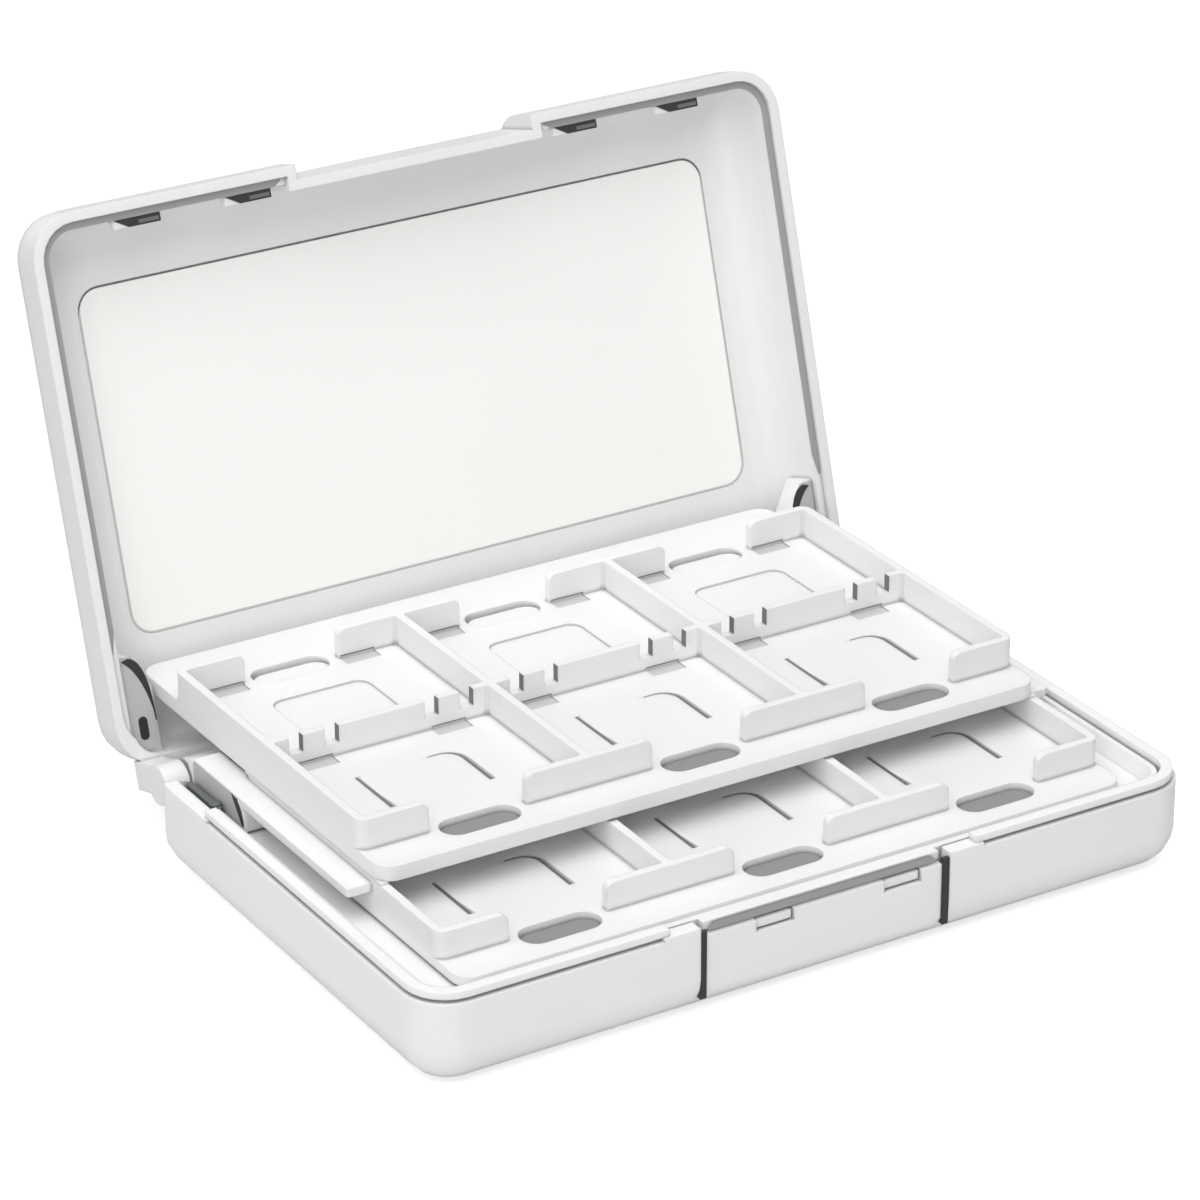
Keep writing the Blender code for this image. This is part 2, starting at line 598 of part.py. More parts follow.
def tray_body(name, front, floor_z, wall_height):
    """Floor, walls and tabs of a tray, without its skirt or flanges."""
    bottom_z = floor_z - TRAY_FLOOR
    top_z = floor_z + wall_height
    tray = slab(
        name, -tray_half_width, tray_half_width, front, front + tray_length,
        bottom_z, floor_z, PLATE_CORNER_RADIUS
    )
    wall_front = front + FRONT_PLATE_DEPTH
    middle_front = wall_front + TRAY_WALL + CELL_DEPTH
    back_front = middle_front + TRAY_WALL + CELL_DEPTH
    block = slab(
        "block", -tray_half_width, tray_half_width, wall_front, back_front + TRAY_WALL,
        floor_z - TRAY_FLOOR / 2, top_z, TRAY_CORNER_RADIUS
    )
    cells = []
    for column in range(CELL_COLUMNS):
        left = -tray_half_width + TRAY_WALL + column * cell_pitch
        for row_front in (wall_front + TRAY_WALL, middle_front + TRAY_WALL):
            cells.append(
                slab(
                    "cell", left, left + CELL_WIDTH, row_front, row_front + CELL_DEPTH,
                    floor_z - TRAY_FLOOR, top_z + CUT_PAST, CELL_CORNER_RADIUS
                )
            )
    cut(block, cells)
    gaps = []
    for column in range(CELL_COLUMNS):
        left = -tray_half_width + TRAY_WALL + column * cell_pitch
        middle = left + CELL_WIDTH / 2
        for wall_y in (wall_front, back_front):
            gaps.append(
                slab(
                    "tab_gap", middle - TAB_GAP / 2, middle + TAB_GAP / 2, wall_y - CUT_PAST,
                    wall_y + TRAY_WALL + CUT_PAST, floor_z - TRAY_FLOOR, top_z + CUT_PAST
                )
            )
            for side in SIDES:
                gaps.append(tab_corner(middle + side * TAB_GAP / 2, side, wall_y, top_z))
        pair_reach = CELL_WIDTH / 2 - NOTCH_PAIR_SETBACK - NOTCH_PAIR_WIDTH
        for pair_left in (left + NOTCH_PAIR_SETBACK, middle + pair_reach):
            for x0 in (pair_left, pair_left + NOTCH_PAIR_WIDTH - NOTCH_WIDTH):
                gaps.append(
                    slab(
                        "notch", x0, x0 + NOTCH_WIDTH, middle_front - CUT_PAST,
                        middle_front + TRAY_WALL + CUT_PAST, top_z - NOTCH_DEPTH, top_z + CUT_PAST
                    )
                )
    cut(block, gaps)
    add(tray, [block])

    holes = []
    plates = []
    for column in range(CELL_COLUMNS):
        middle = -tray_half_width + TRAY_WALL + column * cell_pitch + CELL_WIDTH / 2
        back_hole_y = back_front + BACK_HOLE_SETBACK
        for hole_y in (wall_front - FRONT_HOLE_SETBACK, back_hole_y):
            holes.append(finger_hole(middle, hole_y, bottom_z - CUT_PAST, floor_z + CUT_PAST))
        plates.append(
            finger_hole(
                middle, back_hole_y - BACK_SLIT_WIDTH, floor_z - BACK_HOLE_DEPTH - BACK_PLATE_THICKNESS,
                floor_z - BACK_HOLE_DEPTH
            )
        )
        for recess_back in (middle_front, back_front):
            for side in SIDES:
                recess_reach = CELL_WIDTH / 2 - TAB_RECESS_SETBACK
                x0, x1 = span(side, recess_reach - TAB_RECESS_WIDTH, recess_reach)
                holes.append(
                    slab(
                        "tab_recess", middle + x0, middle + x1, recess_back - TAB_RECESS_LENGTH,
                        recess_back + TRAY_WALL / 2, floor_z - TAB_RECESS_DEPTH, floor_z + CUT_LIFT
                    )
                )
        pad_back = middle_front + CARD_PAD_REACH
        holes.append(
            slab(
                "card_pad", middle - CARD_PAD_WIDTH / 2, middle + CARD_PAD_WIDTH / 2,
                middle_front + TRAY_WALL / 2, pad_back, floor_z - CARD_PAD_DEPTH, floor_z + CUT_LIFT,
                CARD_PAD_RADIUS
            )
        )
        groove_front = wall_front + TRAY_WALL + FLOOR_GROOVE_START
        holes.append(floor_groove(middle + FLOOR_GROOVE_LEFT_X, groove_front, 0.0, floor_z))
        holes.append(floor_groove(middle + FLOOR_GROOVE_RIGHT_X, groove_front, FLOOR_GROOVE_TURN, floor_z))
    cut(tray, holes)
    add(tray, plates)
    return tray


def floor_groove(x, front, turn, floor_z):
    """A groove in a cell's floor, steep on its left, that may turn left at its rear end."""
    back = front + FLOOR_GROOVE_LENGTH
    path = [(x, front, 1.0, 0.0), (x, back - turn, 1.0, 0.0)]
    if turn > 0.0:
        for step in range(1, TAB_CORNER_STEPS + 1):
            angle = math.radians(90.0 * step / TAB_CORNER_STEPS)
            path.append(
                (x - turn * (1.0 - math.cos(angle)), back - turn * (1.0 - math.sin(angle)),
                 math.cos(angle), math.sin(angle))
            )
        path.append((x - 2 * turn, back, 0.0, 1.0))
    mesh_data = bmesh.new()
    rings = []
    for index, (point_x, point_y, across_x, across_y) in enumerate(path):
        share = index / (len(path) - 1)
        depth = FLOOR_GROOVE_DEPTH + share * (FLOOR_GROOVE_END_DEPTH - FLOOR_GROOVE_DEPTH)
        far_x = point_x + FLOOR_GROOVE_WIDTH * across_x
        far_y = point_y + FLOOR_GROOVE_WIDTH * across_y
        corners = (
            (point_x, point_y, floor_z + CUT_LIFT), (point_x, point_y, floor_z - depth),
            (far_x, far_y, floor_z), (far_x, far_y, floor_z + CUT_LIFT)
        )
        rings.append([mesh_data.verts.new(corner) for corner in corners])
    for near, far in zip(rings, rings[1:]):
        for index in range(4):
            following = (index + 1) % 4
            mesh_data.faces.new((near[index], near[following], far[following], far[index]))
    mesh_data.faces.new(list(reversed(rings[0])))
    mesh_data.faces.new(rings[-1])
    return add_object("floor_groove", mesh_data)


def tab_corner(edge, side, wall_y, top_z):
    """What is cut from a tab's free upper corner to round it."""
    centre_x = edge + side * TAB_CORNER_RADIUS
    outer_x = edge - side * CUT_PAST
    profile = [(outer_x, top_z + CUT_PAST), (centre_x, top_z + CUT_PAST)]
    for step in range(TAB_CORNER_STEPS + 1):
        angle = math.radians(90.0 * step / TAB_CORNER_STEPS)
        x = centre_x - side * TAB_CORNER_RADIUS * math.sin(angle)
        profile.append((x, top_z - TAB_CORNER_RADIUS * (1.0 - math.cos(angle))))
    profile.append((outer_x, top_z - TAB_CORNER_RADIUS))
    return prism("tab_corner", wall_y - CUT_PAST, wall_y + TRAY_WALL + CUT_PAST, profile, along_y=True)


def make_lower_tray(material):
    tray = tray_body("lower_tray", lower_tray_front, lower_floor_z, LOWER_WALL_HEIGHT)
    flanges = []
    recesses = []
    bottom = lower_floor_z - TRAY_FLOOR
    top = lower_top_z - FLANGE_TOP_DROP
    front = lower_tray_front + FLANGE_START
    back = front + FLANGE_LENGTH
    recess_front = lower_tray_front + FLANGE_RECESS_START
    recess_base = bottom + FLANGE_RECESS_BASE
    for side in SIDES:
        x0, x1 = span(side, tray_half_width - TRAY_WALL / 2, flange_half_width)
        for y0, z0 in ((front, top - FLANGE_THICKNESS), (lower_tray_front + FLANGE_FOOT_START, bottom)):
            flanges.append(slab("flange", x0, x1, y0, back, z0, top, FLANGE_CORNER_RADIUS))
        for depth, length in (
            (FLANGE_RECESS_DEPTH, FLANGE_RECESS_LENGTH), (FLANGE_SLIT_DEPTH, FLANGE_SLIT_WIDTH)
        ):
            x0, x1 = span(side, flange_half_width - depth, flange_half_width + CUT_PAST)
            recesses.append(
                slab(
                    "flange_recess", x0, x1, recess_front, recess_front + length,
                    recess_base, top - FLANGE_THICKNESS / 3
                )
            )
    add(tray, flanges)
    cut(tray, recesses)
    tray.data.materials.append(material)
    return tray


def make_upper_tray(material):
    tray = tray_body("upper_tray", upper_tray_front, upper_floor_z, UPPER_WALL_HEIGHT)
    skirt_top = skirt_bottom_z + SKIRT_HEIGHT + TRAY_FLOOR / 2
    # the skirt stops short of the deck's rear edge, where the lid's back wall swings by
    back = upper_tray_front + tray_length - SKIRT_REAR_SETBACK
    skirt = slab(
        "skirt", -tray_half_width, tray_half_width, upper_tray_front, back,
        skirt_bottom_z, skirt_top, PLATE_CORNER_RADIUS
    )
    hollow = slab(
        "skirt_hollow", -tray_half_width + SKIRT_WALL, tray_half_width - SKIRT_WALL,
        upper_tray_front + SKIRT_WALL, back - SKIRT_WALL, skirt_bottom_z - CUT_PAST, skirt_top + CUT_PAST,
        PLATE_CORNER_RADIUS - SKIRT_WALL
    )
    cut(skirt, [hollow])
    add(tray, [skirt])
    tray.data.materials.append(material)
    return tray


def make_lid_shell(material, pivot):
    """The lid is shaped as it lies closed, round its hinge, and turned open by its parent."""
    outer = shell_sections(
        case_half_width, lid_front, lid_back, PLAN_RADIUS, lid_edge_z + lid_height, lid_edge_z,
        LID_TOP_RADIUS, 0.0
    )
    shell = loft("lid_shell", outer)
    arms = []
    for side in SIDES:
        x0, x1 = span(side, arm_inner_x, arm_outer_x)
        arms.append(rod_along_x("arm_eye", x0, x1, 0.0, 0.0, KNUCKLE_RADIUS))
        arms.append(slab("arm", x0, x1, -ARM_LENGTH, KNUCKLE_RADIUS / 2, 0.0, lid_edge_z + LID_EDGE))
    add(shell, arms)

    inner_half = lid_inner_half_width
    inner_front = lid_front + LID_EDGE + LID_REBATE
    inner_back = lid_back - LID_BACK_WALL
    inside_radius = PLAN_RADIUS - LID_EDGE - LID_REBATE
    inside = loft(
        "inside",
        shell_sections(
            inner_half, inner_front, inner_back, inside_radius, lid_edge_z + LID_INSIDE_DEPTH,
            lid_edge_z, LID_INSIDE_RADIUS, CUT_PAST
        ),
    )
    rebate = slab(
        "rebate", -inner_half - LID_REBATE, inner_half + LID_REBATE, inner_front - LID_REBATE,
        inner_back - LID_REBATE, lid_edge_z - CUT_PAST, lid_edge_z + LID_REBATE_DEPTH,
        inside_radius + LID_REBATE
    )
    for hollow in (inside, rebate):
        notch_wall = slab(
            "notch_wall", -NOTCH_HALF_WIDTH - LID_EDGE, NOTCH_HALF_WIDTH + LID_EDGE, lid_front - CUT_PAST,
            lid_front + FINGER_NOTCH_DEPTH + LID_EDGE, lid_edge_z - 2 * CUT_PAST, lid_edge_z + lid_height
        )
        cut(hollow, [notch_wall])
    panel_z = lid_edge_z + LID_INSIDE_DEPTH
    panel_seat = slab(
        "panel_seat", -panel_half_width - FIT_GAP, panel_half_width + FIT_GAP, panel_front - FIT_GAP,
        panel_back + FIT_GAP, panel_z - CUT_PAST,
        panel_z + PANEL_SINK + PANEL_THICKNESS + FIT_GAP, PANEL_RADIUS + FIT_GAP
    )
    cut(shell, [inside, rebate, panel_seat])

    fittings = []
    for side in SIDES:
        for catch_x in (CATCH_INNER_X, CATCH_OUTER_X):
            x0 = side * catch_x - CATCH_WIDTH / 2
            fittings.append(catch_wedge(x0, x0 + CATCH_WIDTH, inner_front))
        fittings.append(ear(side, inner_half))
    add(shell, fittings)

    cutters = [
        slab(
            "finger_notch", -NOTCH_HALF_WIDTH, NOTCH_HALF_WIDTH, lid_front - CUT_PAST,
            lid_front + FINGER_NOTCH_DEPTH, lid_edge_z - CUT_PAST, lid_edge_z + lid_height + CUT_PAST
        )
    ]
    for side in SIDES:
        x0, x1 = span(side, arm_inner_x - CUT_PAST, arm_outer_x - PIN_END_WALL)
        cutters.append(rod_along_x("arm_bore", x0, x1, 0.0, 0.0, bore_radius))
        slot_x = side * (inner_half - EAR_WIDTH / 2)
        slot_back = lid_back - EAR_SLOT_SETBACK
        cutters.append(
            slab(
                "ear_slot", slot_x - EAR_SLOT_WIDTH / 2, slot_x + EAR_SLOT_WIDTH / 2,
                slot_back - EAR_SLOT_LENGTH, slot_back, lid_edge_z,
                lid_edge_z + EAR_RISE + EAR_SLOT_DEPTH, EAR_SLOT_WIDTH / 2
            )
        )
        cutters.append(ear_groove(side, inner_half))
    cut(shell, cutters)
    shell.data.materials.append(material)
    shell.parent = pivot
    return shell


def ear(side, root_x):
    """The block at a hinge corner, joined to the lid's side and back walls."""
    tip_x = root_x - EAR_WIDTH
    root_x += LID_REBATE / 2
    back = lid_back - LID_BACK_WALL / 2
    front = lid_back - EAR_LENGTH
    corners = (
        (tip_x, back), (tip_x, front + EAR_TAPER_LENGTH), (root_x - EAR_SHOULDER, front), (root_x, front),
        (root_x, back - EAR_CORNER_CUT), (root_x - EAR_CORNER_CUT, back)
    )
    points = [(side * x, y) for x, y in corners]
    low = lid_edge_z + EAR_RISE
    return loft("ear", [(low, points), (low + EAR_THICKNESS, points)])


def ear_groove(side, root_x):
    """What is cut beside an ear's free edge."""
    tip_x = root_x - EAR_WIDTH + EAR_EDGE
    shoulder_x = root_x - EAR_SHOULDER + LID_REBATE / 2 + EAR_EDGE
    front = lid_back - EAR_LENGTH + 2 * EAR_EDGE
    taper = front + EAR_TAPER_LENGTH - EAR_EDGE
    back = front + EAR_GROOVE_LENGTH
    width = EAR_GROOVE_WIDTH
    corners = (
        (tip_x, back), (tip_x, taper), (shoulder_x, front), (shoulder_x + width, front + width),
        (tip_x + width, taper + width / 2), (tip_x + width, back)
    )
    points = [(side * x, y) for x, y in corners]
    low = lid_edge_z + EAR_RISE
    return loft("ear_groove", [(low - CUT_PAST, points), (low + EAR_THICKNESS - EAR_EDGE, points)])


def catch_wedge(x0, x1, wall_y):
    """A wedge on the inside of the lid's front wall, steep towards the lid's edge."""
    root = wall_y - LID_REBATE / 2
    low = lid_edge_z + LID_REBATE_DEPTH + CATCH_FROM_REBATE
    profile = (
        (root, low),
        (wall_y + CATCH_REACH, low),
        (wall_y + CATCH_REACH, low + CATCH_NOSE),
        (wall_y + CATCH_TOP_REACH, low + CATCH_HEIGHT),
        (root, low + CATCH_HEIGHT),
    )
    return prism("catch", x0, x1, profile)


def make_insert_panel(material, pivot):
    face_z = lid_edge_z + LID_INSIDE_DEPTH + PANEL_SINK
    panel = slab(
        "lid_insert_panel", -panel_half_width, panel_half_width, panel_front, panel_back,
        face_z, face_z + PANEL_THICKNESS, PANEL_RADIUS
    )
    panel.data.materials.append(material)
    panel.parent = pivot
    return panel


def make_hinge_pin(name, side, material):
    inner = knuckle_outer_x - KNUCKLE_LENGTH + FIT_GAP
    outer = arm_outer_x - PIN_END_WALL - FIT_GAP
    x0, x1 = span(side, inner, outer)
    pin = rod_along_x(name, x0, x1, hinge_y, hinge_z, PIN_RADIUS)
    pin.data.materials.append(material)
    return pin


def main():
    clear_scene()
    white = plastic("white_plastic", (0.86, 0.86, 0.85), 0.42)
    frame_white = plastic("frame_plastic", (0.88, 0.88, 0.88), 0.45)
    tray_white = plastic("tray_plastic", (0.90, 0.90, 0.90), 0.5)
    panel_white = plastic("panel_plastic", (0.93, 0.93, 0.91), 0.6)
    grey = plastic("clip_plastic", (0.42, 0.43, 0.43), 0.45)
    steel = plastic("pin_steel", (0.6, 0.6, 0.6), 0.3, 1.0)

    make_base_shell(white)
    make_inner_frame(frame_white)
    make_lower_tray(tray_white)
    make_upper_tray(tray_white)

    pivot = bpy.data.objects.new("lid_pivot", None)
    bpy.context.scene.collection.objects.link(pivot)
    pivot.location = (0.0, hinge_y, hinge_z)
    pivot.rotation_euler = (-OPEN_ANGLE, 0.0, 0.0)
    make_lid_shell(white, pivot)
    make_insert_panel(panel_white, pivot)

    for side, word in ((-1.0, "left"), (1.0, "right")):
        make_hinge_pin(word + "_hinge_pin", side, steel)
        make_detent_clip(word + "_detent_clip", side, grey)


main()
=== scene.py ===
import math

import bmesh
import bpy
from mathutils import Matrix, Vector


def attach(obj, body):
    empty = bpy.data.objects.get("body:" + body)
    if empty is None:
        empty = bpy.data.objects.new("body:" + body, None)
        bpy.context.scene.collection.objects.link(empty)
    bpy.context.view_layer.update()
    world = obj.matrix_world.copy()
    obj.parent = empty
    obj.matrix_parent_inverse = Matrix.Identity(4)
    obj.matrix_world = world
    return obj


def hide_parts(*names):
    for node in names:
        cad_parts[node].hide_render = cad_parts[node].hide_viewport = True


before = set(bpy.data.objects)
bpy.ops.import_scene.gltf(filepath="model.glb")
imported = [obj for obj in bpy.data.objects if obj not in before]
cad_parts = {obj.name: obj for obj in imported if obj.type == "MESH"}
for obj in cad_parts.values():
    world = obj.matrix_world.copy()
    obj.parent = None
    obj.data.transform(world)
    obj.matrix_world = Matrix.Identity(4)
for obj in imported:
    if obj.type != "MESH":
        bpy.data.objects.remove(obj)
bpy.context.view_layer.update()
mm = 0.001
quarterTurn = 90.0  # degrees

viewpoint = {
    "place": (-0.31435, -0.49944, 0.31883),
    "azimuth": -31.306,  # degrees, 0 looks along +Y
    "down": 25.428,
    "roll": -0.196,
    "lens": 151.135,
    "sensor": 36.0,
    "nearest": 0.01,
    "farthest": 50.0,
}


def buildCamera(settings):
    azimuth = math.radians(settings["azimuth"])
    down = math.radians(settings["down"])
    roll = math.radians(settings["roll"])
    ahead = Vector((
        -math.sin(azimuth) * math.cos(down), math.cos(azimuth) * math.cos(down), -math.sin(down)
    ))
    level = Vector((math.cos(azimuth), math.sin(azimuth), 0.0))
    upright = level.cross(ahead)
    across = level * math.cos(roll) + upright * math.sin(roll)
    up = upright * math.cos(roll) - level * math.sin(roll)
    data = bpy.data.cameras.new("caseCamera")
    data.lens = settings["lens"]
    data.sensor_width = settings["sensor"]
    data.clip_start = settings["nearest"]
    data.clip_end = settings["farthest"]
    camera = bpy.data.objects.new("caseCamera", data)
    turned = Matrix((across, up, -ahead)).transposed().to_4x4()
    camera.matrix_world = Matrix.Translation(settings["place"]) @ turned
    bpy.context.scene.collection.objects.link(camera)
    bpy.context.scene.camera = camera


def mathNode(tree, operation, *sources, clamp=False):  # a source is a number or a node's output
    node = tree.nodes.new("ShaderNodeMath")
    node.operation = operation
    node.use_clamp = clamp
    for socket, source in zip(node.inputs, sources):
        if isinstance(source, float):
            socket.default_value = source
        else:
            tree.links.new(source, socket)
    return node.outputs[0]


studio = {
    "worldLight": 0.33,
    "floorHalf": 4.0,
    "floorDrop": 0.0003,
    "floorColour": (0.74, 0.74, 0.74),
    "floorGlow": 0.62,  # seen by the camera alone, so the case's shadow stays
    "lamps": {
        "topLamp": {
            "place": (-0.2, -0.16, 0.92), "aim": (0.0, 0.02, 0.02), "size": 1.2, "power": 8.1,
        },
        "frontLamp": {
            "place": (-0.64, -0.7, 0.46), "aim": (0.0, 0.02, 0.03), "size": 0.6, "power": 2.4,
        },
    },
}


def buildWorld(strength):  # white to the camera and in reflections, soft light elsewhere
    world = bpy.data.worlds.new("studioWorld")
    world.use_nodes = True
    tree = world.node_tree
    background = tree.nodes["Background"]
    rays = tree.nodes.new("ShaderNodeLightPath").outputs
    seen = mathNode(tree, "ADD", rays["Is Camera Ray"], rays["Is Glossy Ray"], clamp=True)
    level = tree.nodes.new("ShaderNodeMix")
    level.data_type = "FLOAT"
    level.inputs["A"].default_value = strength
    level.inputs["B"].default_value = 1.0
    tree.links.new(seen, level.inputs["Factor"])
    tree.links.new(level.outputs["Result"], background.inputs["Strength"])
    background.inputs["Color"].default_value = (1.0, 1.0, 1.0, 1.0)
    bpy.context.scene.world = world


def buildLamps(lamps):
    for name, lamp in lamps.items():
        data = bpy.data.lights.new(name, "AREA")
        data.shape = "DISK"
        data.size = lamp["size"]
        data.energy = lamp["power"]
        light = bpy.data.objects.new(name, data)
        light.location = lamp["place"]
        aim = Vector(lamp["aim"]) - Vector(lamp["place"])
        light.rotation_euler = aim.to_track_quat("-Z", "Y").to_euler()
        bpy.context.scene.collection.objects.link(light)


def buildFloor(settings):
    shape = bmesh.new()
    bmesh.ops.create_grid(shape, x_segments=1, y_segments=1, size=settings["floorHalf"])
    bmesh.ops.translate(shape, vec=(0.0, 0.0, -settings["floorDrop"]), verts=shape.verts)
    mesh = bpy.data.meshes.new("studioFloor")
    shape.to_mesh(mesh)
    shape.free()
    floor = bpy.data.objects.new("studioFloor", mesh)
    bpy.context.scene.collection.objects.link(floor)
    paint = bpy.data.materials.new("studioFloorWhite")
    paint.use_nodes = True
    tree = paint.node_tree
    shader = tree.nodes["Principled BSDF"]
    shader.inputs["Base Color"].default_value = (*settings["floorColour"], 1.0)
    shader.inputs["Roughness"].default_value = 1.0
    shader.inputs["Specular IOR Level"].default_value = 0.0
    shader.inputs["Emission Color"].default_value = (1.0, 1.0, 1.0, 1.0)
    rays = tree.nodes.new("ShaderNodeLightPath").outputs
    glow = mathNode(tree, "MULTIPLY", rays["Is Camera Ray"], settings["floorGlow"])
    tree.links.new(glow, shader.inputs["Emission Strength"])
    floor.data.materials.append(paint)


mouldedLook = {
    "cloudScale": 38.0,  # slow flow marks of the moulding
    "cloudDetail": 4.0,
    "cloudTint": (0.97, 1.02),
    "cloudMiddle": 0.5,
    "pebbleScale": 2600.0,  # fine satin grain of the mould's surface
    "pebbleDetail": 3.0,
    "pebbleHeight": 0.02 * mm,
    "creaseShadeReach": 0.9 * mm,
    "creaseShadeRange": (0.8, 0.5),  # how open a corner is where its painted shade line starts and is full
    "paintedCreaseShade": (0.05, 0.05, 0.05, 1.0),
    "edgeRange": (0.995, 0.86),  # how flat an edge is where its polish starts and is full
    "rays": 6,
    "glowReach": 1.2 * mm,  # how far light spreads inside the plastic
}
# Crease sets how strong the painted shade along inner corners is
finishSockets = ("Roughness", "Grain", "Bump", "Wear", "Softness", "Crease")


def noiseNode(tree, place, scale, detail):
    node = tree.nodes.new("ShaderNodeTexNoise")
    node.inputs["Scale"].default_value = scale
    node.inputs["Detail"].default_value = detail
    tree.links.new(place, node.inputs["Vector"])
    return node.outputs["Fac"]


def maskNode(tree, source, start, full):  # 0 at start and 1 at full
    node = tree.nodes.new("ShaderNodeMapRange")
    node.inputs["From Min"].default_value = start
    node.inputs["From Max"].default_value = full
    tree.links.new(source, node.inputs["Value"])
    return node.outputs["Result"]


def mouldedSurface(look):
    group = bpy.data.node_groups.new("mouldedSurface", "ShaderNodeTree")
    face = group.interface
    face.new_socket("Colour", in_out="INPUT", socket_type="NodeSocketColor")
    for name in finishSockets:
        face.new_socket(name, in_out="INPUT", socket_type="NodeSocketFloat")
    face.new_socket("Colour", in_out="OUTPUT", socket_type="NodeSocketColor")
    face.new_socket("Roughness", in_out="OUTPUT", socket_type="NodeSocketFloat")
    face.new_socket("Normal", in_out="OUTPUT", socket_type="NodeSocketVector")
    nodes, links = group.nodes, group.links
    given = nodes.new("NodeGroupInput").outputs
    made = nodes.new("NodeGroupOutput").inputs
    place = nodes.new("ShaderNodeTexCoord").outputs["Object"]
    cloud = noiseNode(group, place, look["cloudScale"], look["cloudDetail"])
    pebble = noiseNode(group, place, look["pebbleScale"], look["pebbleDetail"])

    spread = nodes.new("ShaderNodeMapRange")
    spread.inputs["To Min"].default_value, spread.inputs["To Max"].default_value = look["cloudTint"]
    links.new(cloud, spread.inputs["Value"])
    tint = nodes.new("ShaderNodeMix")
    tint.data_type = "RGBA"
    tint.blend_type = "MULTIPLY"
    tint.inputs["Factor"].default_value = 1.0
    links.new(given["Colour"], tint.inputs["A"])
    links.new(spread.outputs["Result"], tint.inputs["B"])

    hollow = nodes.new("ShaderNodeAmbientOcclusion")  # painted shade: the fine dark line along each inner corner
    hollow.samples = look["rays"]
    hollow.inputs["Distance"].default_value = look["creaseShadeReach"]
    creaseShadeMask = maskNode(group, hollow.outputs["AO"], *look["creaseShadeRange"])
    shaded = nodes.new("ShaderNodeMix")
    shaded.data_type = "RGBA"
    shaded.inputs["B"].default_value = look["paintedCreaseShade"]
    links.new(mathNode(group, "MULTIPLY", creaseShadeMask, given["Crease"]), shaded.inputs["Factor"])
    links.new(tint.outputs["Result"], shaded.inputs["A"])

    rounded = nodes.new("ShaderNodeBevel")  # softens the light across every moulded edge
    rounded.samples = look["rays"]
    links.new(given["Softness"], rounded.inputs["Radius"])
    flat = nodes.new("ShaderNodeNewGeometry")
    turned = nodes.new("ShaderNodeVectorMath")
    turned.operation = "DOT_PRODUCT"
    links.new(rounded.outputs["Normal"], turned.inputs[0])
    links.new(flat.outputs["Normal"], turned.inputs[1])
    edgeMask = maskNode(group, turned.outputs["Value"], *look["edgeRange"])
    worn = mathNode(group, "MULTIPLY", edgeMask, given["Wear"])

    uneven = mathNode(group, "SUBTRACT", cloud, look["cloudMiddle"])
    rough = mathNode(group, "MULTIPLY_ADD", uneven, given["Grain"], given["Roughness"])
    polished = mathNode(group, "SUBTRACT", rough, worn, clamp=True)

    bump = nodes.new("ShaderNodeBump")
    bump.inputs["Distance"].default_value = look["pebbleHeight"]
    links.new(given["Bump"], bump.inputs["Strength"])
    links.new(pebble, bump.inputs["Height"])
    links.new(rounded.outputs["Normal"], bump.inputs["Normal"])

    links.new(shaded.outputs["Result"], made["Colour"])
    links.new(polished, made["Roughness"])
    links.new(bump.outputs["Normal"], made["Normal"])
    return group


shellPlastic = {
    "colour": (0.88, 0.882, 0.875),
    "roughness": 0.34,
    "grain": 0.10,
    "bump": 0.03,
    "wear": 0.05,
    "softness": 0.25 * mm,
    "crease": 0.4,
    "glow": 0.25,
}
# painted shade: the lid's copy of the shell plastic is darker, for the shade on the open lid
lidShadedPlastic = dict(shellPlastic, colour=(0.835, 0.837, 0.83), roughness=0.3)
linerPlastic = {
    "colour": (0.86, 0.86, 0.855),
    "roughness": 0.38,
    "grain": 0.10,
    "bump": 0.03,
    "wear": 0.04,
    "softness": 0.2 * mm,
    "crease": 0.4,
    "glow": 0.25,
}
trayPlastic = {
    "colour": (0.825, 0.827, 0.823),
    "roughness": 0.42,
    "grain": 0.08,
    "bump": 0.03,
    "wear": 0.04,
    "softness": 0.2 * mm,
    "crease": 0.5,
    "glow": 0.25,
}
# painted light: the lower tray's copy of the tray plastic is lighter
lowerTrayLitPlastic = dict(trayPlastic, colour=(0.842, 0.844, 0.84))
runnerPlastic = dict(lowerTrayLitPlastic, crease=0.0)
panelPlastic = {
    "colour": (0.97, 0.967, 0.95),
    "roughness": 0.5,
    "grain": 0.06,
    "bump": 0.02,
    "wear": 0.02,
    "softness": 0.1 * mm,
    "crease": 0.2,
    "glow": 0.0,
}
clipPlastic = {
    "colour": (0.13, 0.14, 0.14),
    "roughness": 0.4,
    "grain": 0.10,
    "bump": 0.03,
    "wear": 0.08,
    "softness": 0.1 * mm,
    "crease": 0.3,
    "glow": 0.0,
}
pinMetal = {
    "colour": (0.6, 0.6, 0.6),
    "roughness": 0.3,
    "grain": 0.2,
    "bump": 0.05,
    "wear": 0.05,
    "softness": 0.05 * mm,
    "crease": 0.0,
    "glow": 0.0,
    "metal": 1.0,
}
holeShadeGrey = {  # painted shade: the colours of the shaded places, from the finger holes' bottoms on
    "colour": (0.26, 0.26, 0.26),
    "roughness": 0.5,
    "grain": 0.08,
    "bump": 0.02,
    "wear": 0.0,
    "softness": 0.05 * mm,
    "crease": 0.15,
    "glow": 0.0,
}
slotShadeGrey = dict(holeShadeGrey, colour=(0.56, 0.562, 0.558), crease=0.1)
darkShadeGrey = dict(holeShadeGrey, colour=(0.15, 0.15, 0.15), crease=0.0)
softShadeGrey = dict(holeShadeGrey, colour=(0.42, 0.42, 0.42), crease=0.0)
seatShadeGrey = dict(holeShadeGrey, colour=(0.6, 0.6, 0.59), crease=0.0)
